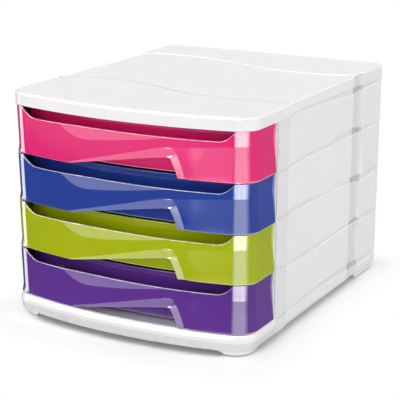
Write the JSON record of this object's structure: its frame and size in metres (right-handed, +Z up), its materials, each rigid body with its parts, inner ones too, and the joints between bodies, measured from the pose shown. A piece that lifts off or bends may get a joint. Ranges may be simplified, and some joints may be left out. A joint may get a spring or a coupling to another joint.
{
  "type": "desktop drawer unit",
  "caption": "Desktop drawer tower with bow-fronted translucent drawers that slide forward out of a pale stacked plastic casing.",
  "frame": {"origin": "on the floor, below the middle of the unit's plan box", "axes": "+Z up, -Y out of the drawer fronts, +X to the right seen from the front"},
  "size_m": [0.288, 0.37, 0.2515],
  "materials": {
    "casing": "satin moulded polystyrene",
    "drawer_pink": "glossy, deeply tinted",
    "drawer_blue": "glossy, deeply tinted",
    "drawer_lime": "glossy, deeply tinted",
    "drawer_violet": "glossy, deeply tinted",
    "foot_rubber": "matt"
  },
  "bodies": {
    "casing": {"front_visor": "casing", "top_cover": "casing", "tier_1": "casing", "tier_2": "casing", "tier_3": "casing", "tier_4": "casing", "base": "casing", "foot_pad_front_left": "foot_rubber", "foot_pad_front_right": "foot_rubber", "foot_pad_rear_left": "foot_rubber", "foot_pad_rear_right": "foot_rubber"},
    "drawer_1": {"tray_1": "drawer_pink", "drawer_front_1": "drawer_pink"},
    "drawer_2": {"tray_2": "drawer_blue", "drawer_front_2": "drawer_blue"},
    "drawer_3": {"tray_3": "drawer_lime", "drawer_front_3": "drawer_lime"},
    "drawer_4": {"tray_4": "drawer_violet", "drawer_front_4": "drawer_violet"}
  },
  "joints": [
    {"name": "drawer_1_slide", "type": "slide", "parent": "casing", "child": "drawer_1", "axis": [0, -1, 0], "range_m": [0, 0.25]},
    {"name": "drawer_2_slide", "type": "slide", "parent": "casing", "child": "drawer_2", "axis": [0, -1, 0], "range_m": [0, 0.25]},
    {"name": "drawer_3_slide", "type": "slide", "parent": "casing", "child": "drawer_3", "axis": [0, -1, 0], "range_m": [0, 0.25]},
    {"name": "drawer_4_slide", "type": "slide", "parent": "casing", "child": "drawer_4", "axis": [0, -1, 0], "range_m": [0, 0.25]}
  ]
}
